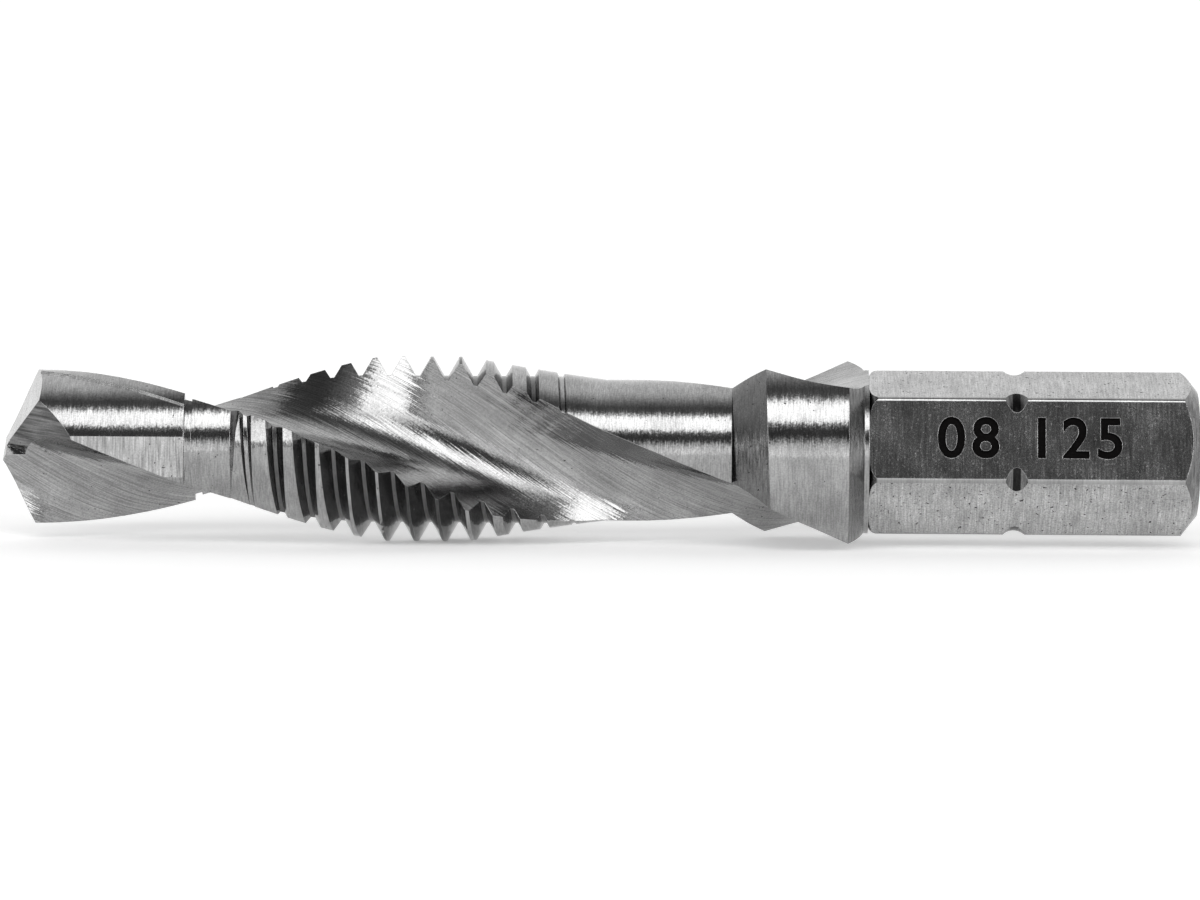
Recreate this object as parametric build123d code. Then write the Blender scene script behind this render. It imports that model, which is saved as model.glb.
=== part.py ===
from build123d import *
import math
import os

# One-piece drill, tap and countersink with a hex shank, ground from a round steel bar.
# The tool is built standing on its point: Z runs from the tip to the shank end, and angles
# are in degrees about Z, from X towards Y. Last of all it is laid down along X.
# All sizes are in millimetres.

# Overall, and the angle that faces up when the tool lies at rest with an open flute below
LENGTH = 51.8
UP_ANGLE = 5.7

# Drill: margin circle, clearance behind the margin, and the flat ground on one land
DRILL_RADIUS = 3.35
DRILL_END = 8.04
CLEARANCE_RADIUS = 3.25
MARGIN_ANGLE = 10.0
CLEARANCE_OVERRUN_ANGLE = 12.0
FLAT_DISTANCE = 3.13
FLAT_ANGLE = 98.0
FLAT_START = 2.6
FLAT_END = 8.45

# Point: height of the outer corner and angle of each lip, which are ground a little unequally
CORNER_HEIGHTS = (1.33, 1.25)
LIP_ANGLES = (67.1, 66.4)
LIP_SETBACK = 0.12
FLANK_RELIEF = 20.0
GASH_HEIGHT = 0.05
GASH_FALL_ALONG_LIP = 26.1
GASH_RISE_BEHIND_LIP = 45.8
GASH_ARC = (30.0, 125.0)
GASH_SETBACK = 0.1

# Undercut and neck between drill and tap
UNDERCUT_END = 8.35
UNDERCUT_RADIUS = 2.95
NECK_RADIUS = 3.13

# Tap thread M8 x 1.25
PITCH = 1.25
CREST_RADIUS = 4.03
ROOT_RADIUS = 3.2
ROOT_FLAT = 0.17
THREAD_ANGLE = 60.0
CREST_HEIGHT_AT_X = 16.08
TAP_START = 10.05
TAP_FRONT_RADIUS = 3.4
TAP_FRONT_CHAMFER = 0.28
TAP_FRONT_LENGTH = 1.88
THREAD_CUT_START = 9.4
THREAD_CUT_TURNS = 13
THREAD_CUT_BRIM = 0.07
STOCK_STEP = 30.0
FULL_THREAD_END = 20.2

# Chamfer teeth: a cone set off centre on each land, so the heel is lower than the edge
LEAD_ANGLE = 10.0
LEAD_RADIUS = 3.15
LEAD_HEIGHT = 10.4
LEAD_OFFSET = 0.3
LEAD_OFFSET_ANGLE = 50.0
LEAD_SPLIT_ANGLE = 26.0
LEAD_END = 17.2

# Back taper of the thread and plain shank
TAPER_MIDDLE = (3.5, 23.2)
SHANK_START = 26.2
SHANK_RADIUS = 3.07

# Countersink collar
COLLAR_RADIUS = 4.5
COLLAR_START = 33.1
COLLAR_END = 36.7
SINK_ANGLE = 45.0
SINK_OFFSET = 0.19
SINK_OFFSET_ANGLE = 14.0
SINK_SPLIT_ANGLE = -14.0

# Round behind the collar, and the hex shank
ROUND_RADIUS = 3.55
ROUND_START = 37.37
HEX_START = 37.58
HEX_ACROSS_FLATS = 6.3
HEX_FLAT_ANGLE = 80.0
HEX_CORNER_FILLET = 0.24
HEX_SHOULDER = 0.45
END_FACE_RADIUS = 2.73
END_CHAMFER_ANGLE = 51.6

# Ring groove that the chuck's ball drops into
DETENT_HEIGHT = 43.9
DETENT_BOTTOM_RADIUS = 3.37
DETENT_WHEEL_RADIUS = 0.6

# Two flutes. Each is a V with a round bottom: the wall under the cutting edge and the wall at
# the heel pass the axis at a small offset, which grows along the tool and faster at its rear
FLUTE_LEAD = 51.4
FLUTE_ZERO_HEIGHT = 9.1
EDGE_WALL_ANGLE = 56.0
EDGE_WALL_OFFSET = 0.10
EDGE_WALL_TAPER = 0.0055
EDGE_REAR_START = 31.2
EDGE_REAR_TAPER = 0.10
HEEL_WALL_ANGLE = 61.0
HEEL_WALL_OFFSET = 0.36
HEEL_WALL_TAPER = 0.0145
HEEL_REAR_START = 22.0
HEEL_REAR_TAPER = 0.025
FLUTE_BOTTOM_RADIUS = 2.6
FLUTE_START = -1.2
FLUTE_END = 39.6
FLUTE_STATIONS = 17
FLUTE_CUTTER_RADIUS = 14.0
RUNOUT_START = 29.5
RUNOUT_GROWTH = 0.145

# Working allowances: stock below the tip, overlap of joined solids, and reach of the cutters
STOCK_START = -0.5
OVERLAP = 0.2
CUTTER_OVERRUN = 0.6
CLEAR = 8.0
BLOCK = 30.0


def polar(radius, angle, height):
    """Point at a radius and an angle in degrees, at a height above the tip."""
    turn = math.radians(angle)
    return Vector(radius * math.cos(turn), radius * math.sin(turn), height)


def turned_profile():
    """Everything inside the turned outline: drill, neck, tap, shank and countersink collar."""
    taper_end = (SHANK_RADIUS, 0.0, SHANK_START)
    sink_start = COLLAR_START - (COLLAR_RADIUS - SHANK_RADIUS) / math.tan(math.radians(SINK_ANGLE))
    front = Polyline(
        (0, 0, STOCK_START),
        (DRILL_RADIUS, 0, STOCK_START),
        (DRILL_RADIUS, 0, DRILL_END),
        (UNDERCUT_RADIUS, 0, DRILL_END),
        (UNDERCUT_RADIUS, 0, UNDERCUT_END),
        (NECK_RADIUS, 0, UNDERCUT_END),
        (NECK_RADIUS, 0, TAP_START),
        (TAP_FRONT_RADIUS, 0, TAP_START + TAP_FRONT_CHAMFER),
        (CREST_RADIUS, 0, TAP_START + TAP_FRONT_LENGTH),
        (CREST_RADIUS, 0, FULL_THREAD_END),
    )
    middle = (TAPER_MIDDLE[0], 0.0, TAPER_MIDDLE[1])
    taper = ThreePointArc((CREST_RADIUS, 0, FULL_THREAD_END), middle, taper_end)
    back = Polyline(
        taper_end,
        (SHANK_RADIUS, 0, sink_start),
        (COLLAR_RADIUS, 0, COLLAR_START),
        (COLLAR_RADIUS, 0, COLLAR_END),
        (ROUND_RADIUS, 0, ROUND_START),
        (ROUND_RADIUS, 0, HEX_START),
        (0, 0, HEX_START),
        (0, 0, STOCK_START),
    )
    return revolve(make_face(front + taper + back), Axis.Z)


def hex_shank():
    """Hex with rounded corners, a rounded front shoulder, an end chamfer and a ball groove."""
    outline = RegularPolygon(radius=HEX_ACROSS_FLATS / 2, side_count=6, major_radius=False)
    outline = fillet(outline.vertices(), HEX_CORNER_FILLET)
    outline = Rot(0, 0, HEX_FLAT_ANGLE - 90) * outline
    start = HEX_START - OVERLAP
    prism = Pos(0, 0, start) * extrude(outline, LENGTH - start)

    flat = HEX_ACROSS_FLATS / 2
    reach = flat + HEX_SHOULDER
    chamfer = (reach - END_FACE_RADIUS) / math.tan(math.radians(END_CHAMFER_ANGLE))
    edge = Polyline((0, 0, start), (flat, 0, start), (flat, 0, HEX_START))
    body = Polyline(
        (reach, 0, HEX_START + HEX_SHOULDER),
        (reach, 0, LENGTH - chamfer),
        (END_FACE_RADIUS, 0, LENGTH),
        (0, 0, LENGTH),
        (0, 0, start),
    )
    half_way = HEX_SHOULDER * math.sin(math.radians(45))
    shoulder = ThreePointArc(
        (flat, 0, HEX_START),
        (flat + half_way, 0, HEX_START + HEX_SHOULDER - half_way),
        (reach, 0, HEX_START + HEX_SHOULDER),
    )
    envelope = revolve(make_face(edge + shoulder + body), Axis.Z)

    wheel = Circle(DETENT_WHEEL_RADIUS)
    centre = (DETENT_BOTTOM_RADIUS + DETENT_WHEEL_RADIUS, 0, DETENT_HEIGHT)
    groove = revolve(Plane(centre, x_dir=(1, 0, 0), z_dir=(0, -1, 0)) * wheel, Axis.Z)
    return (prism & envelope) - groove


def thread_groove():
    """One V groove wound the right-hand way round the tap, cut to the root."""
    slope = math.tan(math.radians(THREAD_ANGLE / 2))
    brim = CREST_RADIUS + THREAD_CUT_BRIM
    root = ROOT_FLAT / 2
    mouth = root + (brim - ROOT_RADIUS) * slope
    outline = [
        (ROOT_RADIUS, -root),
        (brim, -mouth),
        (brim + OVERLAP, -mouth),
        (brim + OVERLAP, mouth),
        (brim, mouth),
        (ROOT_RADIUS, root),
    ]
    path = Helix(pitch=PITCH, height=PITCH * THREAD_CUT_TURNS, radius=ROOT_RADIUS)
    corners = [(radius, 0, height) for radius, height in outline]
    profile = make_face(Polyline(*corners, close=True))
    groove = sweep(profile, path=path, is_frenet=True)
    first_root = CREST_HEIGHT_AT_X + PITCH / 2
    turns_back = math.ceil((first_root - THREAD_CUT_START) / PITCH)
    return Pos(0, 0, first_root - turns_back * PITCH) * groove


def threaded_bar():
    """Round bar with the thread cut while it is still plain, then turned to its outline."""
    upward = (Align.CENTER, Align.CENTER, Align.MIN)
    tap_stock = Cylinder(CREST_RADIUS, STOCK_STEP + OVERLAP - STOCK_START, align=upward)
    rear_stock = Cylinder(CLEAR, HEX_START - STOCK_STEP, align=upward)
    stock = Pos(0, 0, STOCK_START) * tap_stock - thread_groove()
    stock += Pos(0, 0, STOCK_STEP) * rear_stock
    return stock & turned_profile()


def relief_cutter(start, end, radius_at_start, slope_angle, offset, offset_angle, split_angle):
    """Half a ring outside a cone whose axis is set off centre, for one land."""
    rise = (end - start) * math.tan(math.radians(slope_angle))
    corners = [
        (radius_at_start, 0, start),
        (CLEAR, 0, start),
        (CLEAR, 0, end),
        (radius_at_start + rise, 0, end),
    ]
    face = make_face(Polyline(*corners, close=True))
    half_ring = revolve(face, Axis.Z, 180)
    return Pos(*polar(offset, offset_angle, 0)) * Rot(0, 0, split_angle) * half_ring


def chamfer_relief():
    """Relief of the tap's chamfer teeth, one cutter for each land."""
    start = TAP_START - OVERLAP / 10
    radius = LEAD_RADIUS - (LEAD_HEIGHT - start) * math.tan(math.radians(LEAD_ANGLE))
    first = relief_cutter(
        start, LEAD_END, radius, LEAD_ANGLE, LEAD_OFFSET, LEAD_OFFSET_ANGLE, LEAD_SPLIT_ANGLE
    )
    return [first, Rot(0, 0, 180) * first]


def sink_relief():
    """Relief of the countersink's front cone, one cutter for each land."""
    slope = math.tan(math.radians(SINK_ANGLE))
    start = COLLAR_START - (COLLAR_RADIUS - SHANK_RADIUS) / slope
    end = COLLAR_START + CUTTER_OVERRUN
    radius = COLLAR_RADIUS - SINK_OFFSET - (COLLAR_START - start) * slope
    first = relief_cutter(
        start, end, radius, SINK_ANGLE, SINK_OFFSET, SINK_OFFSET_ANGLE, SINK_SPLIT_ANGLE
    )
    return [first, Rot(0, 0, 180) * first]


def flute_angle(height):
    """Angle of the first flute's middle at a height above the tip."""
    return 360 * (height - FLUTE_ZERO_HEIGHT) / FLUTE_LEAD


def wall_offset(height, offset, taper, rear_start, rear_taper):
    """Distance at which a flute wall passes the axis, at a height above the tip."""
    return offset + taper * height + rear_taper * max(0.0, height - rear_start)


def flute_section(height):
    """Outline of one flute across the tool: heel wall, round bottom, edge wall, outer arc."""
    edge = math.radians(EDGE_WALL_ANGLE)
    heel = math.radians(HEEL_WALL_ANGLE)
    edge_offset = wall_offset(
        height, EDGE_WALL_OFFSET, EDGE_WALL_TAPER, EDGE_REAR_START, EDGE_REAR_TAPER
    )
    heel_offset = wall_offset(
        height, HEEL_WALL_OFFSET, HEEL_WALL_TAPER, HEEL_REAR_START, HEEL_REAR_TAPER
    )
    past = max(0.0, height - RUNOUT_START)
    radius = FLUTE_BOTTOM_RADIUS + RUNOUT_GROWTH * past**2

    across = math.sin(edge + heel)
    centre = Vector(
        ((edge_offset + radius) * math.cos(heel) + (heel_offset + radius) * math.cos(edge)) / across,
        ((heel_offset + radius) * math.sin(edge) - (edge_offset + radius) * math.sin(heel)) / across,
        height,
    )
    edge_normal = Vector(math.sin(edge), -math.cos(edge), 0)
    heel_normal = Vector(math.sin(heel), math.cos(heel), 0)
    edge_in = centre - edge_normal * radius
    heel_in = centre - heel_normal * radius
    bottom = centre - (edge_normal + heel_normal).normalized() * radius
    edge_turn = EDGE_WALL_ANGLE - math.degrees(math.asin(edge_offset / FLUTE_CUTTER_RADIUS))
    heel_turn = HEEL_WALL_ANGLE - math.degrees(math.asin(heel_offset / FLUTE_CUTTER_RADIUS))
    edge_out = polar(FLUTE_CUTTER_RADIUS, edge_turn, height)
    heel_out = polar(FLUTE_CUTTER_RADIUS, -heel_turn, height)
    outside = polar(FLUTE_CUTTER_RADIUS, 0, height)
    outline = Wire([
        Edge.make_line(heel_out, heel_in),
        Edge.make_three_point_arc(heel_in, bottom, edge_in),
        Edge.make_line(edge_in, edge_out),
        Edge.make_three_point_arc(edge_out, outside, heel_out),
    ])
    return Rot(0, 0, flute_angle(height)) * outline


def flutes():
    """Both flutes, lofted through sections that turn along the tool and rise at the end."""
    step = (FLUTE_END - FLUTE_START) / (FLUTE_STATIONS - 1)
    sections = [flute_section(FLUTE_START + step * index) for index in range(FLUTE_STATIONS)]
    first = Solid.make_loft(sections)
    return [first, Rot(0, 0, 180) * first]


def body_clearance():
    """Twisted strips that take the drill's lands down behind their margins."""
    edge_opening = EDGE_WALL_ANGLE - math.degrees(math.asin(EDGE_WALL_OFFSET / DRILL_RADIUS))
    heel_opening = HEEL_WALL_ANGLE - math.degrees(math.asin(HEEL_WALL_OFFSET / DRILL_RADIUS))
    start = flute_angle(STOCK_START) + edge_opening + MARGIN_ANGLE
    end = flute_angle(STOCK_START) + 180 - heel_opening + CLEARANCE_OVERRUN_ANGLE
    middle = (start + end) / 2
    outer = DRILL_RADIUS + CUTTER_OVERRUN
    height = DRILL_END - 2 * STOCK_START
    ring = Wire([
        Edge.make_line(polar(CLEARANCE_RADIUS, start, 0), polar(outer, start, 0)),
        Edge.make_three_point_arc(
            polar(outer, start, 0), polar(outer, middle, 0), polar(outer, end, 0)
        ),
        Edge.make_line(polar(outer, end, 0), polar(CLEARANCE_RADIUS, end, 0)),
        Edge.make_three_point_arc(
            polar(CLEARANCE_RADIUS, end, 0),
            polar(CLEARANCE_RADIUS, middle, 0),
            polar(CLEARANCE_RADIUS, start, 0),
        ),
    ])
    strip = Solid.extrude_linear_with_rotation(
        ring, (0, 0, 0), (0, 0, height), 360 * height / FLUTE_LEAD
    )
    first = Pos(0, 0, STOCK_START) * strip
    return [first, Rot(0, 0, 180) * first]


def land_flat():
    """Flat ground along one land of the drill, parallel to the axis."""
    length = FLAT_END - FLAT_START
    block = Box(CLEAR, BLOCK, length, align=(Align.MIN, Align.CENTER, Align.MIN))
    return Rot(0, 0, FLAT_ANGLE) * Pos(FLAT_DISTANCE, 0, FLAT_START) * block


def below_plane(height, slope_x, slope_y):
    """Block under a plane that rises by the two slopes from a height on the axis."""
    plane = Plane(origin=(0, 0, height), z_dir=(-slope_x, -slope_y, 1))
    return plane * Box(BLOCK, BLOCK, CLEAR, align=(Align.CENTER, Align.CENTER, Align.MAX))


def point_cutters():
    """Flank and gash of each lip. A lip lies along X, and its flank falls away towards Y."""
    cutters = []
    relief = math.tan(math.radians(FLANK_RELIEF))
    along = -math.tan(math.radians(GASH_FALL_ALONG_LIP))
    behind = math.tan(math.radians(GASH_RISE_BEHIND_LIP))
    low = -CLEAR / 2
    gash_middle = sum(GASH_ARC) / 2
    for index, (lip_angle, corner) in enumerate(zip(LIP_ANGLES, CORNER_HEIGHTS)):
        rise = 1 / math.tan(math.radians(lip_angle))
        flank = below_plane(corner - rise * DRILL_RADIUS + relief * LIP_SETBACK, rise, relief)
        wedge = make_face(Polyline(
            polar(GASH_SETBACK, gash_middle, low),
            polar(CLEAR, GASH_ARC[0], low),
            polar(2 * CLEAR, gash_middle, low),
            polar(CLEAR, GASH_ARC[1], low),
            close=True,
        ))
        gash = extrude(wedge, 2 * CLEAR, dir=(0, 0, 1)) & below_plane(GASH_HEIGHT, along, behind)
        for cutter in (flank, gash):
            cutters.append(Rot(0, 0, 180 * index) * cutter)
    return cutters


def drill_tap_bit():
    """Whole tool, standing on its point."""
    bar = threaded_bar()
    bar -= chamfer_relief()
    bar -= sink_relief()
    bar -= body_clearance()
    bar -= land_flat()
    bar = bar + hex_shank()
    bar -= flutes()
    bar -= point_cutters()
    return bar


def laid_down(tool):
    """Tool along X with its shank end at the origin, and UP_ANGLE turned to Z."""
    shank_end = Plane(origin=(0, 0, LENGTH), x_dir=(0, 0, 1), z_dir=polar(1, UP_ANGLE, 0))
    return shank_end.to_local_coords(tool)


def main():
    os.makedirs("parts", exist_ok=True)
    bit = laid_down(drill_tap_bit())
    export_step(bit, "parts/drill_tap_bit.step")


if __name__ == "__main__":
    main()
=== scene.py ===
"""Looks of a ground steel drill, tap and countersink bit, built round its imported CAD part.

The part lies along X with its shank end at the origin, at rest over an open flute. Lengths are
in millimetres and angles in degrees, unless a name or comment says otherwise. Height is the
distance from the tip along the tool, and the turn of a point or a normal is its angle about the
tool, from +Y towards +Z.
"""

import logging
import math
from dataclasses import dataclass
from enum import Enum, IntEnum

import bmesh
import bpy
import numpy as np
from mathutils import Matrix, Vector


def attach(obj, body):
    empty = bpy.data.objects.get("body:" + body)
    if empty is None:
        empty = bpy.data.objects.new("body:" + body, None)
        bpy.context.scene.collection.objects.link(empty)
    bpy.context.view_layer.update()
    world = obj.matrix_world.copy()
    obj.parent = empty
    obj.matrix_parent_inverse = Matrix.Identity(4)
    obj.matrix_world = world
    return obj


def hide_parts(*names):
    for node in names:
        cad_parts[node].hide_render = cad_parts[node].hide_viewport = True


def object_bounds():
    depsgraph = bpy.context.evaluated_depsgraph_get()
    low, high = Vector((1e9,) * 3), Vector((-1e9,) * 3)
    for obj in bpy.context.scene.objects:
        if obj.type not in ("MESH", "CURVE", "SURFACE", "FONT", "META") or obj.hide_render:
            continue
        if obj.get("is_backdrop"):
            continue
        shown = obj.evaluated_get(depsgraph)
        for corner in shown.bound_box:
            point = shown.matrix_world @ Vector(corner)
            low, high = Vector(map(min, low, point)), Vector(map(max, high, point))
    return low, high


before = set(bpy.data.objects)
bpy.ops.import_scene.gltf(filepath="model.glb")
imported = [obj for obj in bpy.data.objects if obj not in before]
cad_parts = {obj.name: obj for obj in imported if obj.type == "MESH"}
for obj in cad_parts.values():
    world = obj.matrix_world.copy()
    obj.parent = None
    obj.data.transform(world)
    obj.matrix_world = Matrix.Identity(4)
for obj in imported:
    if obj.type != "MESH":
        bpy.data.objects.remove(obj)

log = logging.getLogger("bit")

Socket = bpy.types.NodeSocket
Tree = bpy.types.NodeTree

MM = 0.001
NODE = "drill_tap_bit"
LENGTH = 51.8
AXIS = (1.0, 0.0, 0.0)

# Turn about the tool between its own marks, such as the flutes' start, and the way it lies
LAID_TURN = 84.3

# Fall of the grinding lines on the gash, from the tip backwards
GASH_LINE_TILT = 9.0

# Share of a face's normal that points along the tool, on steep, point and level faces
STEEP = 0.3
POINTED = 0.5
LEVEL = 0.02
NEARLY_LEVEL = 0.05

# How far a face may be off the flats, the land's flat and the flute's exact wall
FLAT_GAP = 2.0
LAND_FLAT_GAP = 1.0
FLUTE_GAP = 20.0
FLUTE_DEPTH = 0.06
SLACK = 0.01

# Faces that meet at less than this angle are shaded as one surface
SMOOTH_ANGLE = 24.0

# Material slot that the Boolean gives to the cut digits
CUT_SLOT = 1

# Spacing of the patterns that all finishes share. Real grit is finer, and wouldn't show
SPECKLE = 0.09
GRIT = 0.07
PIT = 0.16

# Spacing of the faint stains, and how much darker and lighter they make the steel
STAIN = 1.6
STAIN_RANGE = (0.82, 1.06)

# Scale of a pattern along the lines, and radius on which it is wound when they run round the tool
STRETCH = 0.06
FLUTE_STRETCH = 0.05
WINDING_RADIUS = 0.35

# Shift between two patterns of the same spacing, and the range that most noise values are in
PATTERN_SHIFT = (7.3, 2.9, 5.1)
NOISE_RANGE = (0.32, 0.68)

# Noise values at which a pit starts and is full, and how far a finish's pits lower both
PIT_START = 0.79
PIT_FULL = 0.86
PIT_SHARE = 0.1

# How dark a full pit is, and how much rougher
PIT_DARK = 0.85
PIT_ROUGH = 0.3

# Share of the mean roughness that is always there, and what the stains add to it
ROUGHNESS_BASE = 0.75
ROUGHNESS_SWING = 0.5

# Contrast of the swirls as a share of that of the lines
SWIRL_CONTRAST = 0.5

# Radius that the shader gives to every sharp edge
EDGE_RADIUS = 0.03

# Brightness of the room by angle about the tool, from the camera (0) upwards
PEAK = 3.0
STRIPS = (
    (-180, 0.80), (-30, 0.60), (-14, 1.10), (-6, 1.60), (1, 1.35), (6, 1.20), (11, 0.55),
    (16, 0.06), (25, 0.07), (30, 0.36), (34, 2.60), (44, 3.00), (54, 2.90), (60, 0.80),
    (65, 0.16), (75, 0.12), (86, 0.36), (98, 0.80), (110, 1.02), (180, 1.02),
)

# The same towards both ends of the tool, and where along it the one room turns into the other
END_STRIPS = (
    (-180, 0.80), (-24, 0.20), (-1, 0.20), (5, 3.00), (32, 3.00), (37, 0.40), (62, 0.08),
    (86, 0.08), (96, 0.60), (180, 1.20),
)
ENDWARDS = (0.22, 0.5)


class Lay(Enum):
    """Which way the grinding lines run on a surface."""

    ROUND = "round the tool"
    FACED = "in rings on an end face"
    FLUTE = "along the flute"
    ACROSS = "across the tool on a flat"
    ALONG = "along the tool on a flat"


class Wall(IntEnum):
    """Parts of a flute's wall."""

    EDGE = 0
    BOTTOM = 1
    HEEL = 2


class Surface(IntEnum):
    """Kinds of surface, in the order of the material slots."""

    TURNED = 0
    TOOTH = 1
    FLUTE = 2
    HEX = 3
    ROUNDING = 4
    FLANK = 5
    GASH = 6
    LAND_FLAT = 7
    END = 8
    ENGRAVED = 9
    CONE = 10
    CREST = 11
    ROOT = 12
    GROOVE = 13


# Surfaces whose normals turn with the tool's roundness, and those that are flat
ROUND_SURFACES = (
    Surface.TURNED, Surface.TOOTH, Surface.CONE, Surface.CREST, Surface.ROOT, Surface.GROOVE,
)
FLAT_SURFACES = (
    Surface.HEX, Surface.LAND_FLAT, Surface.END, Surface.FLANK, Surface.GASH, Surface.ENGRAVED,
)


@dataclass(frozen=True)
class Finish:
    """Ground or marked steel.

    Args:
        name: Material name.
        tone: Base colour as an sRGB hex string.
        lay: Direction of the grinding lines.
        roughness: Mean roughness.
        anisotropy: How much the highlight stretches across the lines.
        line: Line spacing. Real lines are nearer 0.02, coarser here to show.
        sway: Tilt of the surface from line to line, across the lines.
        swirl: Tilt of the surface from line to line, along the lines.
        grain: Tilt from fine speckle.
        pits: Share of the surface with small dark pits.
        contrast: How much darker the valleys of the lines are than their ridges, as painted shade.
    """

    name: str
    tone: str
    lay: Lay
    roughness: float
    anisotropy: float
    line: float
    sway: float
    swirl: float
    grain: float
    pits: float
    contrast: float


FINISHES = {
    # Ground between centres: bright, with fine rings and sharp long highlights
    Surface.TURNED: Finish(
        "turned_steel", "B2B2B2", Lay.ROUND, roughness=0.12, anisotropy=0.45, line=0.06,
        sway=0.16, swirl=0.12, grain=0.12, pits=0.6, contrast=0.30,
    ),
    # Thread flanks, ground with a fine wheel: duller than the body, and darker from painted shade
    Surface.TOOTH: Finish(
        "tooth_steel_painted_shade", "8A8A8A", Lay.ROUND, roughness=0.16, anisotropy=0.4, line=0.06,
        sway=0.12, swirl=0.08, grain=0.14, pits=0.6, contrast=0.35,
    ),
    # Flutes, ground with a coarse wheel: long streaks that break up every reflection
    Surface.FLUTE: Finish(
        "flute_steel", "BEBEBE", Lay.FLUTE, roughness=0.12, anisotropy=0.35, line=0.07,
        sway=0.36, swirl=0.16, grain=0.14, pits=0.6, contrast=0.45,
    ),
    # Flats of the hex, ground across: a little mottled, with faint lines, and a pale tone that is painted
    # light
    Surface.HEX: Finish(
        "hex_steel_painted_light", "CACACA", Lay.ACROSS, roughness=0.16, anisotropy=0.35, line=0.07,
        sway=0.20, swirl=0.12, grain=0.22, pits=1.2, contrast=0.35,
    ),
    # Rounded corners of the hex: smooth, so that they carry one clean line of light
    Surface.ROUNDING: Finish(
        "rounded_steel", "B0B0B0", Lay.ACROSS, roughness=0.12, anisotropy=0.3, line=0.08,
        sway=0.08, swirl=0.06, grain=0.05, pits=0.4, contrast=0.2,
    ),
    # Relief of the drill's lips: pale and matt
    Surface.FLANK: Finish(
        "flank_steel", "CCCCCC", Lay.ACROSS, roughness=0.22, anisotropy=0.3, line=0.10,
        sway=0.12, swirl=0.10, grain=0.20, pits=0.9, contrast=0.20,
    ),
    # Gash at the chisel: coarse scratches, each with a light and a dark side, the dark side partly painted
    # shade
    Surface.GASH: Finish(
        "gash_steel", "929292", Lay.ALONG, roughness=0.15, anisotropy=0.5, line=0.12,
        sway=0.40, swirl=0.10, grain=0.12, pits=0.5, contrast=0.75,
    ),
    # Flat on the drill's land: upright lines, bright from a tone that is painted light
    Surface.LAND_FLAT: Finish(
        "land_flat_painted_light", "DCDCDC", Lay.ACROSS, roughness=0.13, anisotropy=0.4, line=0.09,
        sway=0.34, swirl=0.14, grain=0.12, pits=0.9, contrast=0.50,
    ),
    # Faced shank end: dull, with rings
    Surface.END: Finish(
        "end_steel", "969696", Lay.FACED, roughness=0.26, anisotropy=0.3, line=0.09,
        sway=0.20, swirl=0.10, grain=0.14, pits=0.7, contrast=0.35,
    ),
    # Walls and floor of the cut digits: almost black and matt
    Surface.ENGRAVED: Finish(
        "engraved_steel", "161515", Lay.ALONG, roughness=0.6, anisotropy=0.0, line=0.05,
        sway=0.1, swirl=0.1, grain=0.2, pits=0.0, contrast=0.3,
    ),
    # Cones of the countersink and the chamfers: satin rings
    Surface.CONE: Finish(
        "cone_steel", "8A8A8A", Lay.ROUND, roughness=0.24, anisotropy=0.4, line=0.07,
        sway=0.26, swirl=0.14, grain=0.16, pits=0.8, contrast=0.45,
    ),
    # Narrow crests of the full thread: dark lines between the flanks, from painted shade
    Surface.CREST: Finish(
        "crest_steel_painted_shade", "626262", Lay.ROUND, roughness=0.18, anisotropy=0.4, line=0.06,
        sway=0.12, swirl=0.10, grain=0.18, pits=0.8, contrast=0.35,
    ),
    # Roots of the thread: dull, and dark from painted shade in the hollows
    Surface.ROOT: Finish(
        "root_steel_painted_shade", "6E6E6E", Lay.ROUND, roughness=0.22, anisotropy=0.3, line=0.06,
        sway=0.10, swirl=0.08, grain=0.12, pits=0.3, contrast=0.30,
    ),
    # Ring groove of the hex: dark from painted shade in the groove
    Surface.GROOVE: Finish(
        "groove_steel_painted_shade", "343434", Lay.ROUND, roughness=0.24, anisotropy=0.3, line=0.06,
        sway=0.10, swirl=0.08, grain=0.16, pits=0.6, contrast=0.40,
    ),
}


@dataclass(frozen=True)
class FluteWall:
    """Straight wall of a flute, seen across the tool.

    Args:
        lean: Angle between the wall and the flute's middle.
        offset: Distance from the tool's axis at the tip.
        taper: Growth of that distance with height.
        rear: Height from which it grows faster.
        rear_taper: The further growth from there on.
    """

    lean: float
    offset: float
    taper: float
    rear: float
    rear_taper: float

    def distance(self, height: np.ndarray) -> np.ndarray:
        """Distance of the wall from the tool's axis at each height."""
        return self.offset + self.taper * height + self.rear_taper * np.maximum(0, height - self.rear)


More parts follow.
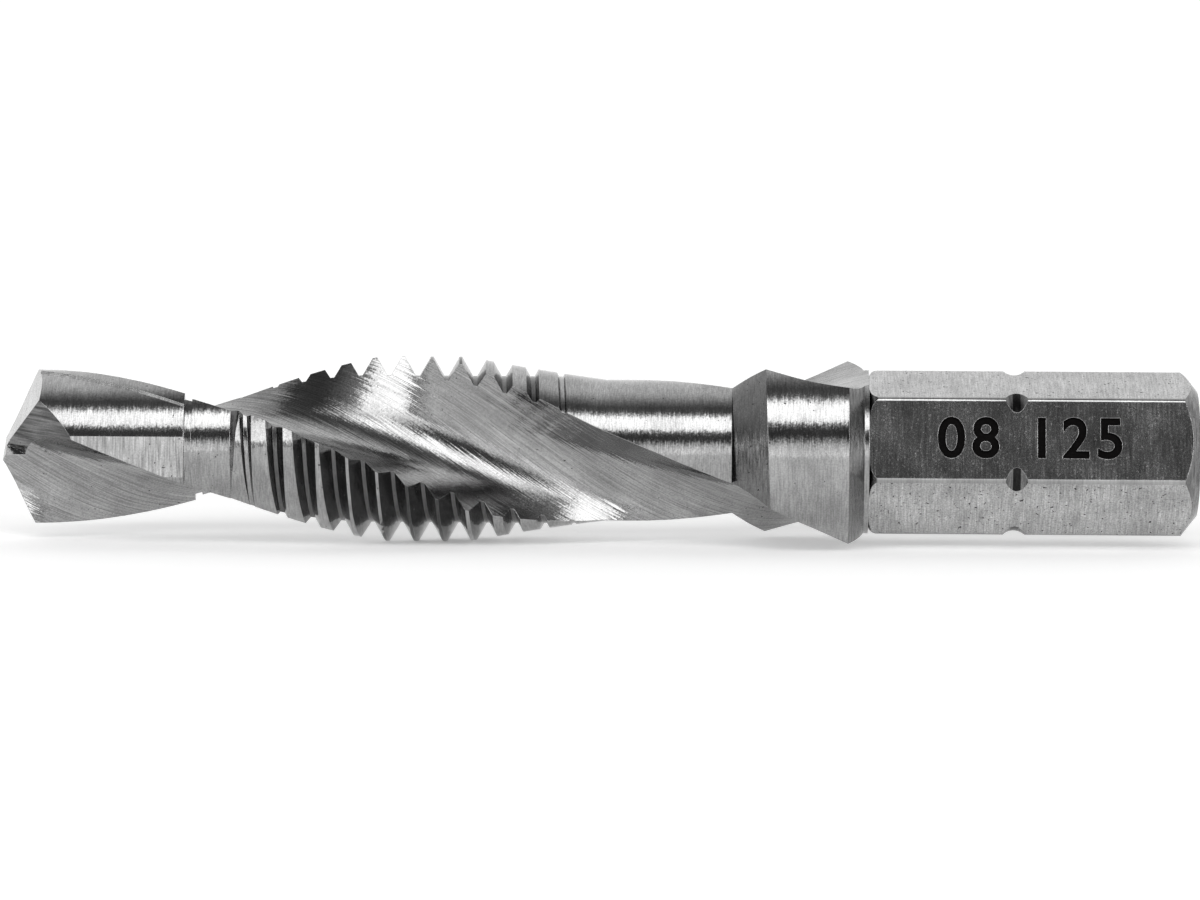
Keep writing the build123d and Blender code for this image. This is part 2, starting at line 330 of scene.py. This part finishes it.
@dataclass
class BitShape:
    """Sizes of the CAD part that the looks depend on. Pairs are ranges of height."""

    flute_lead: float = 51.4
    flute_zero: float = 9.1
    edge: FluteWall = FluteWall(56.0, 0.10, 0.0055, 31.2, 0.10)
    heel: FluteWall = FluteWall(61.0, 0.36, 0.0145, 22.0, 0.025)
    bottom_radius: float = 2.6
    runout_start: float = 29.5
    runout_growth: float = 0.145
    flute_end: float = 39.2
    line_slope: float = 0.75
    tap: tuple[float, float] = (10.0, 25.5)
    full_thread: tuple[float, float] = (16.6, 20.2)
    roots: tuple[float, float] = (11.0, 23.6)
    root_radius: float = 3.24
    crest_rise: float = 0.4
    point_end: float = 4.0
    flank_slope: float = 1.25
    gash_wall_turn: float = 35.6 + LAID_TURN
    gash_wall_end: float = 1.4
    land_flat_turn: float = 98.0 + LAID_TURN
    land_flat_end: float = 9.0
    cones_from: float = 30.0
    hex_start: float = 37.58
    hex_flat: float = 3.15
    hex_turn: float = 80.0 + LAID_TURN
    groove_at: float = 43.9
    groove_reach: float = 0.62

    def flute_turn(self, height: np.ndarray) -> np.ndarray:
        """Turn in radians of the first flute's middle at each height."""
        return 2 * math.pi * (height - self.flute_zero) / self.flute_lead + math.radians(LAID_TURN)

    def flute_depth(self, points: np.ndarray, wall: np.ndarray | None) -> tuple[np.ndarray, np.ndarray]:
        """Signed depth of points inside a flute, positive in the cut-away space.

        Args:
            points: Points in part coordinates.
            wall: Wall to measure from for each point, or None for the one that bounds the space.

        Returns:
            The depths, and the wall that each point faces.
        """
        height = points[:, 0] + LENGTH
        edge, heel = math.radians(self.edge.lean), math.radians(self.heel.lean)
        radius = self.bottom_radius + self.runout_growth * np.maximum(0, height - self.runout_start)**2
        to_edge_axis, to_heel_axis = self.edge.distance(height), self.heel.distance(height)
        still = turned(points, -self.flute_turn(height))
        flip = np.where(still[:, 1] < 0, -1.0, 1.0)
        y, z = still[:, 1] * flip, still[:, 2] * flip

        across = math.sin(edge + heel)
        past_edge, past_heel = to_edge_axis + radius, to_heel_axis + radius
        off_y = y - (past_edge * math.cos(heel) + past_heel * math.cos(edge)) / across
        off_z = z - (past_heel * math.sin(edge) - past_edge * math.sin(heel)) / across
        to_edge = y * math.sin(edge) - z * math.cos(edge) - to_edge_axis
        to_heel = y * math.sin(heel) + z * math.cos(heel) - to_heel_axis
        to_bottom = radius - np.hypot(off_y, off_z)
        beyond_edge = off_y * math.cos(edge) + off_z * math.sin(edge) > 0
        beyond_heel = off_y * math.cos(heel) - off_z * math.sin(heel) > 0
        at_edge = beyond_edge & (to_edge < to_heel)
        nearest = np.where(at_edge, Wall.EDGE, np.where(beyond_heel, Wall.HEEL, Wall.BOTTOM))
        depth = np.choose(nearest if wall is None else wall, [to_edge, to_bottom, to_heel])
        return depth, nearest

    def flute_normals(self, points: np.ndarray, wall: np.ndarray) -> np.ndarray:
        """Exact outward normals of the flute walls.

        Args:
            points: Points on or near a wall, in part coordinates.
            wall: Wall that each point is on.

        Returns:
            One unit vector for each point.
        """
        slopes = []
        for direction in np.eye(3):
            ahead = self.flute_depth(points + direction * SLACK, wall)[0]
            behind = self.flute_depth(points - direction * SLACK, wall)[0]
            slopes.append(ahead - behind)
        return unit(np.stack(slopes, axis=1))


def unit(vectors: np.ndarray) -> np.ndarray:
    """Rows of an array, each scaled to a length of 1."""
    return vectors / np.maximum(np.linalg.norm(vectors, axis=1, keepdims=True), 1e-9)


def turn_of(vectors: np.ndarray) -> np.ndarray:
    """Turn in radians of each row about the tool."""
    return np.arctan2(vectors[:, 2], vectors[:, 1])


def turned(vectors: np.ndarray, angle: np.ndarray) -> np.ndarray:
    """Rows of an array, each turned about the tool by its angle in radians."""
    result = vectors.copy()
    result[:, 1] = vectors[:, 1] * np.cos(angle) - vectors[:, 2] * np.sin(angle)
    result[:, 2] = vectors[:, 1] * np.sin(angle) + vectors[:, 2] * np.cos(angle)
    return result


def between(values: np.ndarray, limits: tuple[float, float]) -> np.ndarray:
    """Whether each value lies between the two limits."""
    return (values > limits[0]) & (values < limits[1])


def off_by(values: np.ndarray, centre: float, period: float) -> np.ndarray:
    """Distance of each value from the nearest of the centres, one every period."""
    return np.abs((values - centre + period / 2) % period - period / 2)


def read(items: bpy.types.bpy_prop_collection, name: str, width: int = 1, kind: type = float) -> np.ndarray:
    """Values of one property of all the items of a mesh collection.

    Args:
        items: Collection, such as a mesh's polygons.
        name: Property to read.
        width: How many numbers it has.
        kind: Type of the numbers.

    Returns:
        Array with a number or a row for each item.
    """
    values = np.empty(len(items) * width, dtype=kind)
    items.foreach_get(name, values)
    return values.reshape(-1, width) if width > 1 else values


def placement(right: Vector, up: Vector, out: Vector, origin: Vector) -> Matrix:
    """Matrix from three axes and an origin.

    Args:
        right: Its X axis.
        up: Its Y axis.
        out: Its Z axis.
        origin: Its origin in metres.

    Returns:
        The matrix.
    """
    matrix = Matrix((right, up, out)).transposed().to_4x4()
    matrix.translation = origin
    return matrix


def linear(tone: str) -> tuple[float, ...]:
    """Linear colour of an sRGB hex string.

    Args:
        tone: Six hex digits.

    Returns:
        Red, green, blue and 1.
    """
    channels = []
    for index in (0, 2, 4):
        value = int(tone[index:index + 2], 16) / 255
        channels.append(value / 12.92 if value <= 0.04045 else ((value + 0.055) / 1.055) ** 2.4)
    return (*channels, 1.0)


def add(tree: Tree, kind: str, inputs: dict | tuple = (), **settings: object) -> Socket | None:
    """Add a shader node with its settings and links.

    Args:
        tree: Node tree that gets it.
        kind: Node type name without the ShaderNode prefix.
        inputs: Values or other nodes' output sockets, in the inputs' order or by name or index.
        **settings: Properties to set on the node.

    Returns:
        The first output that is in use, or None if it has none. Its node holds the others.
    """
    node = tree.nodes.new("ShaderNode" + kind)
    for key, value in settings.items():
        setattr(node, key, value)
    for key, value in inputs.items() if isinstance(inputs, dict) else enumerate(inputs):
        if isinstance(value, bpy.types.NodeSocket):
            tree.links.new(value, node.inputs[key])
        else:
            node.inputs[key].default_value = value
    return next((socket for socket in node.outputs if socket.enabled), None)


def new_tree(owner: bpy.types.Material | bpy.types.World) -> Tree:
    """Empty node tree of a material or a world."""
    owner.use_nodes = True
    owner.node_tree.nodes.clear()
    return owner.node_tree


class SteelMaterial:
    """Node material of one finish."""

    def __init__(self, finish: Finish, shape: BitShape) -> None:
        """Start the material with the coordinates that its patterns read.

        Args:
            finish: What the steel looks like.
            shape: Sizes of the tool, for the twist of the flutes.
        """
        self.finish = finish
        self.shape = shape
        self.material = bpy.data.materials.new(finish.name)
        self.tree = new_tree(self.material)
        position = add(self.tree, "TexCoord").node.outputs["Object"]
        self.point = add(self.tree, "VectorMath", {0: position, "Scale": 1 / MM}, operation="SCALE")
        self.x, self.y, self.z = add(self.tree, "SeparateXYZ", (self.point,)).node.outputs
        self.normal = add(self.tree, "Bevel", {"Radius": EDGE_RADIUS * MM}, samples=6)

    def lay(self) -> tuple[Socket, Socket]:
        """Direction of the lines, and the coordinates that are stretched along them.

        Returns:
            Direction socket and coordinate socket.
        """
        ways = {
            Lay.ROUND: self.ring_lay, Lay.FACED: self.ring_lay, Lay.FLUTE: self.flute_lay,
            Lay.ACROSS: self.across_lay, Lay.ALONG: self.along_lay,
        }
        return ways[self.finish.lay]()

    def ring_lay(self) -> tuple[Socket, Socket]:
        """Lines in rings, one after another along the tool or outwards on an end face."""
        tree = self.tree
        around = add(tree, "VectorMath", (AXIS, self.point), operation="CROSS_PRODUCT")
        around = add(tree, "VectorMath", (around,), operation="NORMALIZE")
        outward = add(tree, "CombineXYZ", (0.0, self.y, self.z))
        wound = add(tree, "VectorMath", (outward,), operation="NORMALIZE")
        wound = add(tree, "VectorMath", {0: wound, "Scale": WINDING_RADIUS}, operation="SCALE")
        step = self.x
        if self.finish.lay is Lay.FACED:
            step = add(tree, "VectorMath", (outward,), operation="LENGTH")
        stepped = add(tree, "CombineXYZ", (step, 0.0, 0.0))
        return around, add(tree, "VectorMath", (wound, stepped), operation="ADD")

    def across_lay(self) -> tuple[Socket, Socket]:
        """Lines across the tool on a flat."""
        tree = self.tree
        across = add(tree, "VectorMath", (AXIS, self.normal), operation="CROSS_PRODUCT")
        across = add(tree, "VectorMath", (across,), operation="NORMALIZE")
        stretch = (1.0, STRETCH, STRETCH)
        return across, add(tree, "VectorMath", (self.point, stretch), operation="MULTIPLY")

    def along_lay(self) -> tuple[Socket, Socket]:
        """Lines along the tool that fall a little towards the shank."""
        tree = self.tree
        upright = add(
            tree, "VectorRotate", {"Vector": self.point, "Angle": math.radians(-LAID_TURN)},
            rotation_type="X_AXIS",
        )
        tilted = add(
            tree, "VectorRotate", {"Vector": upright, "Angle": math.radians(GASH_LINE_TILT)},
            rotation_type="Z_AXIS",
        )
        stretch = (STRETCH, 1.0, STRETCH)
        return self.in_surface(AXIS), add(tree, "VectorMath", (tilted, stretch), operation="MULTIPLY")

    def flute_lay(self) -> tuple[Socket, Socket]:
        """Lines that the wheel left slanting across the flute, and not along its helix."""
        tree, slope = self.tree, self.shape.line_slope
        rate = 2 * math.pi / self.shape.flute_lead
        start = (LENGTH - self.shape.flute_zero) * rate + math.radians(LAID_TURN)
        turn = add(tree, "Math", (self.x, rate, start), operation="MULTIPLY_ADD")
        back = add(tree, "Math", (turn, -1.0), operation="MULTIPLY")
        still = add(tree, "VectorRotate", {"Vector": self.point, "Angle": back}, rotation_type="X_AXIS")
        _, middle, tangent = add(tree, "SeparateXYZ", (still,)).node.outputs
        side = add(tree, "Math", (middle,), operation="SIGN")
        depth = add(tree, "Math", (middle,), operation="ABSOLUTE")
        steepness = add(tree, "Math", (depth, -rate, slope), operation="MULTIPLY_ADD")
        run = add(tree, "Math", (tangent, side), operation="MULTIPLY")
        run = add(tree, "Math", (run, steepness), operation="DIVIDE")
        line = add(tree, "Math", (self.x, run), operation="SUBTRACT")
        flat = add(tree, "Math", (tangent, FLUTE_STRETCH), operation="MULTIPLY")
        deep = add(tree, "Math", (middle, FLUTE_STRETCH), operation="MULTIPLY")
        sideways = []
        for function, rise in (("SINE", -slope), ("COSINE", slope)):
            part = add(tree, "Math", (turn,), operation=function)
            part = add(tree, "Math", (part, side), operation="MULTIPLY")
            sideways.append(add(tree, "Math", (part, rise), operation="MULTIPLY"))
        swept = add(tree, "CombineXYZ", (1.0, *sideways))
        return self.in_surface(swept), add(tree, "CombineXYZ", (line, flat, deep))

    def in_surface(self, direction: Socket | tuple[float, float, float]) -> Socket:
        """Direction laid flat into the surface, with a length of 1."""
        tree = self.tree
        lift = add(tree, "VectorMath", (direction, self.normal), operation="DOT_PRODUCT")
        above = add(tree, "VectorMath", {0: self.normal, "Scale": lift}, operation="SCALE")
        level = add(tree, "VectorMath", (direction, above), operation="SUBTRACT")
        return add(tree, "VectorMath", (level,), operation="NORMALIZE")

    def noise(self, coordinates: Socket, spacing: float, detail: float = 2.0) -> Socket:
        """Noise whose features are about one spacing wide.

        Args:
            coordinates: Where it is read, in millimetres.
            spacing: Width of its features.
            detail: How many finer layers are added.

        Returns:
            Value socket. Its node also has a colour output.
        """
        inputs = {"Vector": coordinates, "Scale": 1 / spacing, "Detail": detail, "Roughness": 0.6}
        return add(self.tree, "TexNoise", inputs)

    def spread(self, value: Socket, low: float, high: float) -> Socket:
        """Noise value stretched so that its usual range fills low to high."""
        return add(self.tree, "MapRange", {
            "Value": value, "From Min": NOISE_RANGE[0], "From Max": NOISE_RANGE[1],
            "To Min": low, "To Max": high,
        })

    def tilt(self, value: Socket, direction: Socket, amount: float) -> Socket:
        """Vector along a direction, from a noise value that is even about 0.5."""
        centred = add(self.tree, "Math", (value, 0.5), operation="SUBTRACT")
        scaled = add(self.tree, "Math", (centred, amount), operation="MULTIPLY")
        return add(self.tree, "VectorMath", {0: direction, "Scale": scaled}, operation="SCALE")

    def scratched_normal(self, lines: Socket, across: Socket, swirls: Socket, along: Socket) -> Socket:
        """Normal of the surface with its lines and speckle.

        Args:
            lines: Noise that tilts it across the lines.
            across: Direction across the lines.
            swirls: Noise that tilts it along the lines.
            along: Direction along the lines.

        Returns:
            Vector socket.
        """
        tree, finish = self.tree, self.finish
        speckle = self.noise(self.point, SPECKLE).node.outputs["Color"]
        centred = add(tree, "VectorMath", (speckle, (0.5, 0.5, 0.5)), operation="SUBTRACT")
        speckled = add(tree, "VectorMath", {0: centred, "Scale": finish.grain}, operation="SCALE")
        normal = self.normal
        for push in (self.tilt(lines, across, finish.sway), self.tilt(swirls, along, finish.swirl), speckled):
            normal = add(tree, "VectorMath", (normal, push), operation="ADD")
        return add(tree, "VectorMath", (normal,), operation="NORMALIZE")

    def pits(self) -> Socket:
        """Darkness of the small pits, 0 between them."""
        shift = PIT_SHARE * self.finish.pits
        return add(self.tree, "MapRange", {
            "Value": self.noise(self.point, PIT, detail=1.0),
            "From Min": PIT_START - shift, "From Max": PIT_FULL - shift,
            "To Min": 0.0, "To Max": PIT_DARK if self.finish.pits else 0.0,
        })

    def build(self) -> bpy.types.Material:
        """Make the shader.

        Returns:
            The material.
        """
        tree, finish = self.tree, self.finish
        along, coordinates = self.lay()
        across = add(tree, "VectorMath", (self.normal, along), operation="CROSS_PRODUCT")
        across = add(tree, "VectorMath", (across,), operation="NORMALIZE")
        lines = self.noise(coordinates, finish.line)
        shifted = add(tree, "VectorMath", (coordinates, PATTERN_SHIFT), operation="ADD")
        swirls = self.noise(shifted, finish.line)
        stain = self.noise(self.point, STAIN)
        grit = self.noise(self.point, GRIT, detail=1.0)
        pit = self.pits()

        # The lines and swirls darken the colour in their valleys as painted shade; the pits, stains and grit
        # are marks of the steel itself
        bright = add(tree, "Math", (1.0, pit), operation="SUBTRACT")
        for factor in (
            self.spread(lines, 1.0 - finish.contrast, 1.0),
            self.spread(swirls, 1.0 - SWIRL_CONTRAST * finish.contrast, 1.0),
            self.spread(stain, *STAIN_RANGE),
            self.spread(grit, 1.0 - finish.grain, 1.0 + finish.grain),
        ):
            bright = add(tree, "Math", (bright, factor), operation="MULTIPLY")
        colour = add(tree, "VectorMath", {0: linear(finish.tone)[:3], "Scale": bright}, operation="SCALE")

        uneven = (stain, ROUGHNESS_SWING * finish.roughness, ROUGHNESS_BASE * finish.roughness)
        roughness = add(tree, "Math", uneven, operation="MULTIPLY_ADD")
        roughness = add(tree, "Math", (pit, PIT_ROUGH, roughness), operation="MULTIPLY_ADD")
        shader = add(tree, "BsdfPrincipled", {
            "Base Color": colour,
            "Metallic": 1.0,
            "Roughness": roughness,
            "Anisotropic": finish.anisotropy,
            "Tangent": across,
            "Normal": self.scratched_normal(lines, across, swirls, along),
        })
        add(tree, "OutputMaterial", {"Surface": shader})
        return self.material


@dataclass
class GroundBit:
    """The shown bit: the CAD mesh joined, marked, sorted by surface and shaded exactly.

    Args:
        shape: Sizes of the tool.
        text: Plain digits that are cut into the hex.
        text_height: Height of the text's middle.
        text_size: Font size.
        text_depth: Depth of the cut.
        text_weight: What each side of a stroke gains.
        text_spacing: Spacing of the digits as a share of the font's own.
        object: The Blender object, once it is made.
    """

    shape: BitShape
    text: str = "08 125"
    text_height: float = 44.5
    text_size: float = 2.45
    text_depth: float = 0.12
    text_weight: float = 0.05
    text_spacing: float = 1.2
    object: bpy.types.Object | None = None

    def copy(self) -> None:
        """Copy the CAD node, and join its doubled points."""
        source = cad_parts[NODE]
        mesh = bpy.data.meshes.new("ground_bit")
        shell = bmesh.new()
        shell.from_mesh(source.data)
        bmesh.ops.remove_doubles(shell, verts=shell.verts, dist=1e-4 * MM)
        bmesh.ops.recalc_face_normals(shell, faces=shell.faces)
        shell.to_mesh(mesh)
        shell.free()
        self.object = bpy.data.objects.new("ground_bit", mesh)
        bpy.context.scene.collection.objects.link(self.object)
        log.info("joined copy has %d faces", len(mesh.polygons))

    def digits(self) -> bpy.types.Mesh:
        """Closed mesh of the digits, half sunk into the front flat of the hex."""
        curve = bpy.data.curves.new("numbers", "FONT")
        curve.body = self.text
        curve.size = self.text_size * MM
        curve.align_x = "CENTER"
        curve.align_y = "CENTER"
        curve.extrude = self.text_depth * MM
        curve.offset = self.text_weight * MM
        curve.space_character = self.text_spacing
        curve.resolution_u = 6
        letters = bpy.data.objects.new("numbers", curve)
        bpy.context.scene.collection.objects.link(letters)
        bpy.context.view_layer.update()
        ready = letters.evaluated_get(bpy.context.evaluated_depsgraph_get())
        solid = bpy.data.meshes.new_from_object(ready)
        bpy.data.objects.remove(letters)
        turn = math.radians(self.shape.hex_turn)
        out = Vector((0, math.cos(turn), math.sin(turn)))
        up = Vector((0, math.sin(turn), -math.cos(turn)))
        origin = Vector(((self.text_height - LENGTH) * MM, 0, 0)) + out * self.shape.hex_flat * MM
        solid.transform(placement(Vector(AXIS), up, out, origin))
        return solid

    def engrave(self) -> None:
        """Cut the digits, with a material slot of their own."""
        solid = self.digits()
        cutter = bpy.data.objects.new("numbers_cutter", solid)
        bpy.context.scene.collection.objects.link(cutter)
        for mesh, name in ((solid, "cut"), (self.object.data, "skin")):
            mesh.materials.clear()
            mesh.materials.append(bpy.data.materials.new(name))
        cut = self.object.modifiers.new("numbers", "BOOLEAN")
        cut.operation = "DIFFERENCE"
        cut.object = cutter
        cut.solver = "EXACT"
        cut.material_mode = "TRANSFER"
        bpy.context.view_layer.update()
        ready = self.object.evaluated_get(bpy.context.evaluated_depsgraph_get())
        marked = bpy.data.meshes.new_from_object(ready)
        self.object.modifiers.clear()
        self.object.data = marked
        bpy.data.objects.remove(cutter)
        found, wanted = self.count_cuts(), len(self.text.replace(" ", ""))
        level = logging.INFO if found == wanted else logging.WARNING
        log.log(level, "%d cuts for %d digits, %d faces", found, wanted, len(marked.polygons))

    def count_cuts(self) -> int:
        """Count the engraved digits.

        Returns:
            Number of separate groups of joined engraved faces.
        """
        shell = bmesh.new()
        shell.from_mesh(self.object.data)
        left = {face for face in shell.faces if face.material_index == CUT_SLOT}
        groups = 0
        while left:
            groups += 1
            front = [left.pop()]
            while front:
                for edge in front.pop().edges:
                    joined = [face for face in edge.link_faces if face in left]
                    left.difference_update(joined)
                    front.extend(joined)
        shell.free()
        return groups

    def surfaces(self) -> tuple[np.ndarray, np.ndarray]:
        """Sort the faces by surface.

        Returns:
            The Surface of each face, and the flute wall that it faces.
        """
        shape, mesh = self.shape, self.object.data
        centre = read(mesh.polygons, "center", 3) / MM
        normal = read(mesh.polygons, "normal", 3)
        cut = read(mesh.polygons, "material_index", kind=np.int32) == CUT_SLOT
        height = centre[:, 0] + LENGTH
        radius = np.hypot(centre[:, 1], centre[:, 2])
        facing = np.degrees(turn_of(normal))
        lengthwise = np.abs(normal[:, 0])
        steep, level = lengthwise > STEEP, lengthwise < LEVEL

        depth, wall = shape.flute_depth(centre, None)
        same_way = np.einsum("ij,ij->i", shape.flute_normals(centre, wall), normal)
        fluted = (np.abs(depth) < FLUTE_DEPTH) & (same_way > math.cos(math.radians(FLUTE_GAP)))
        hexed = height > shape.hex_start + 2 * SLACK
        flat = (off_by(facing, shape.hex_turn, 60) < FLAT_GAP) & level
        hollow = np.abs(height - shape.groove_at) < shape.groove_reach
        point = (height < shape.point_end) & (normal[:, 0] < -POINTED)
        slope = -normal[:, 0] / np.maximum(np.hypot(normal[:, 1], normal[:, 2]), 1e-6)
        gash_wall = (off_by(facing, shape.gash_wall_turn, 180) < FLAT_GAP) & (lengthwise < NEARLY_LEVEL)
        land_flat = (off_by(facing, shape.land_flat_turn, 360) < LAND_FLAT_GAP) & level

        kinds = np.full(len(height), Surface.TURNED.value)
        for surface, faces in (
            (Surface.TOOTH, between(height, shape.tap) & steep),
            (Surface.CREST, between(height, shape.full_thread) & ~steep
             & (radius > shape.root_radius + shape.crest_rise)),
            (Surface.ROOT, between(height, shape.roots) & ~steep & (radius < shape.root_radius)),
            (Surface.ROUNDING, hexed),
            (Surface.HEX, hexed & flat),
            (Surface.GROOVE, hollow & ~cut & ~(flat & (radius > shape.hex_flat - SLACK))),
            (Surface.GASH, point),
            (Surface.FLANK, point & (slope > shape.flank_slope)),
            (Surface.FLANK, gash_wall & (height < shape.gash_wall_end)),
            (Surface.CONE, steep & (height > shape.cones_from)),
            (Surface.END, height > LENGTH - SLACK),
            (Surface.FLUTE, fluted & (height < shape.flute_end)),
            (Surface.LAND_FLAT, land_flat & (height < shape.land_flat_end)),
            (Surface.ENGRAVED, cut),
        ):
            kinds[faces] = surface.value
        return kinds, wall

    def corner_normals(self, kinds: np.ndarray, wall: np.ndarray) -> np.ndarray:
        """Exact normal of each face corner, sharp where two surfaces meet.

        Args:
            kinds: Surface of each face.
            wall: Flute wall that each face is on.

        Returns:
            One unit vector for each corner.
        """
        mesh = self.object.data
        vertex_of = read(mesh.loops, "vertex_index", kind=np.int32)
        totals = read(mesh.polygons, "loop_total", kind=np.int32)
        face_of = np.repeat(np.arange(len(mesh.polygons)), totals)
        area = read(mesh.polygons, "area")[face_of]
        base = read(mesh.polygons, "normal", 3)[face_of]
        face_turn = turn_of(read(mesh.polygons, "center", 3) / MM)[face_of]
        point = (read(mesh.vertices, "co", 3) / MM)[vertex_of]
        kind = kinds[face_of]
        around = np.where(np.isin(kind, ROUND_SURFACES), turn_of(point) - face_turn, 0.0)
        own = turned(base, around)

        order = np.argsort(vertex_of, kind="stable")
        starts = np.searchsorted(vertex_of[order], np.arange(len(mesh.vertices) + 1))
        limit = math.cos(math.radians(SMOOTH_ANGLE))
        result = own.copy()
        for start, end in zip(starts, starts[1:]):
            group = order[start:end]
            near = (own[group] @ own[group].T) > limit
            same = kind[group][:, None] == kind[group][None, :]
            result[group] = ((near & same) * area[group][None, :]) @ own[group]
        fluted = kind == Surface.FLUTE
        result[fluted] = self.shape.flute_normals(point[fluted], wall[face_of][fluted])
        flat = np.isin(kind, FLAT_SURFACES)
        result[flat] = base[flat]
        return unit(result)

    def dress(self) -> None:
        """Give each face its material and each corner its exact normal."""
        kinds, wall = self.surfaces()
        mesh = self.object.data
        mesh.materials.clear()
        for surface in Surface:
            mesh.materials.append(SteelMaterial(FINISHES[surface], self.shape).build())
        mesh.polygons.foreach_set("material_index", kinds.astype(np.int32))
        mesh.polygons.foreach_set("use_smooth", np.ones(len(mesh.polygons), dtype=bool))
        mesh.normals_split_custom_set(self.corner_normals(kinds, wall).tolist())
        log.info("faces by surface: %s", {surface.name: int((kinds == surface).sum()) for surface in Surface})

    def register(self) -> None:
        """Hide the CAD node and hang the piece on the root body."""
        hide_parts(NODE)
        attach(self.object, "root")


@dataclass
class Studio:
    """Camera, pale floor and strip lights.

    Args:
        camera_at: Camera position, in the part's frame before it is laid down.
        target: Point looked at, in the same frame.
        lens: Focal length.
        sensor: Width of the sensor.
        roll: Turn of the picture.
        floor_half: Half the floor's side, in metres.
        floor_tone: Colour of the floor, as an sRGB hex string.
        floor_glow: What the seen floor gains, so that it comes out white.
    """

    camera_at: tuple[float, float, float] = (-18.93, 0.0, 240.0)
    target: tuple[float, float, float] = (-25.88, 0.0, 0.0)
    lens: float = 165.4
    sensor: float = 36.0
    roll: float = 0.40
    floor_half: float = 4.0
    floor_tone: str = "F6F6F6"
    floor_glow: float = 0.26

    def camera(self) -> None:
        """Place the camera."""
        data = bpy.data.cameras.new("camera")
        data.lens = self.lens
        data.sensor_width = self.sensor
        data.clip_start = 0.01
        data.clip_end = 10.0
        view = bpy.data.objects.new("camera", data)
        lay = Matrix.Rotation(math.radians(LAID_TURN), 3, "X")
        place = lay @ Vector(self.camera_at)
        back = (place - lay @ Vector(self.target)).normalized()
        roll = math.radians(self.roll)
        right = (lay @ Vector((-math.sin(roll), math.cos(roll), 0))).cross(back).normalized()
        view.matrix_world = placement(right, back.cross(right), back, place * MM)
        bpy.context.scene.collection.objects.link(view)
        bpy.context.scene.camera = view
        log.info("camera %.0f mm away", place.length)

    def floor(self, height: float) -> None:
        """Lay a pale floor under the tool.

        Args:
            height: Height of the floor in metres.
        """
        mesh = bpy.data.meshes.new("floor")
        sheet = bmesh.new()
        bmesh.ops.create_grid(sheet, x_segments=1, y_segments=1, size=self.floor_half)
        bmesh.ops.translate(sheet, verts=sheet.verts, vec=(0, 0, height))
        sheet.to_mesh(mesh)
        sheet.free()
        material = bpy.data.materials.new("floor")
        tree = new_tree(material)
        rays = add(tree, "LightPath").node.outputs
        seen = add(tree, "Math", (rays["Is Camera Ray"], rays["Is Glossy Ray"]), operation="MAXIMUM")
        seen = add(tree, "Math", (seen, rays["Is Transmission Ray"]), operation="MAXIMUM")
        lit = add(tree, "Math", (seen, self.floor_glow), operation="MULTIPLY")
        matte = add(tree, "BsdfDiffuse", {"Color": linear(self.floor_tone)})
        glow = add(tree, "Emission", {"Color": (1, 1, 1, 1), "Strength": lit})
        both = add(tree, "AddShader", (matte, glow))
        add(tree, "OutputMaterial", {"Surface": both})
        mesh.materials.append(material)
        floor = bpy.data.objects.new("floor", mesh)
        bpy.context.scene.collection.objects.link(floor)
        floor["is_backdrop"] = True
        log.info("floor at %.2f mm", height / MM)

    def lights(self) -> None:
        """Light the tool by a room with long soft strips beside it, drawn in the world."""
        world = bpy.data.worlds.new("studio")
        bpy.context.scene.world = world
        tree = new_tree(world)
        way = add(tree, "TexCoord")
        laid = add(
            tree, "VectorRotate", {"Vector": way, "Angle": math.radians(-LAID_TURN)},
            rotation_type="X_AXIS",
        )
        x, y, z = add(tree, "SeparateXYZ", (laid,)).node.outputs
        angle = add(tree, "Math", (y, z), operation="ARCTAN2")
        share = add(tree, "Math", (angle, 1 / (2 * math.pi), 0.5), operation="MULTIPLY_ADD")
        endwards = add(tree, "Math", (x,), operation="ABSOLUTE")
        mix = add(tree, "MapRange", {"Value": endwards, "From Min": ENDWARDS[0], "From Max": ENDWARDS[1]})
        middle, ends = self.ramp(tree, share, STRIPS), self.ramp(tree, share, END_STRIPS)
        level = add(tree, "Mix", {0: mix, 2: middle, 3: ends})
        room = add(tree, "Background", {"Color": level, "Strength": PEAK})
        add(tree, "OutputWorld", {"Surface": room})
        log.info("room with %d and %d strip edges", len(STRIPS), len(END_STRIPS))

    def ramp(self, tree: Tree, share: Socket, steps: tuple[tuple[float, float], ...]) -> Socket:
        """Brightness of the room round the tool.

        Args:
            tree: Node tree of the world.
            share: Angle about the tool as a share of a full turn, 0.5 at the camera.
            steps: Angles and the brightness at each.

        Returns:
            Brightness as a share of PEAK.
        """
        colour = add(tree, "ValToRGB", (share,))
        elements = colour.node.color_ramp.elements
        while len(elements) < len(steps):
            elements.new(0.5)
        for element, (angle, level) in zip(elements, steps):
            element.position = (angle + 180) / 360
            element.color = (level / PEAK, level / PEAK, level / PEAK, 1)
        return add(tree, "RGBToBW", (colour,))


def main() -> None:
    """Build the looks, and lay the floor under the lowest point of the part."""
    logging.basicConfig(level=logging.INFO, format="%(name)s: %(message)s")
    bpy.context.scene.view_settings.view_transform = "Standard"
    cad_low, cad_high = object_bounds()
    bit = GroundBit(BitShape())
    bit.copy()
    bit.engrave()
    bit.dress()
    bit.register()
    log.info("ground bit stands for %s", NODE)

    studio = Studio()
    studio.camera()
    studio.floor(cad_low.z)
    studio.lights()


if __name__ == "__main__":
    main()
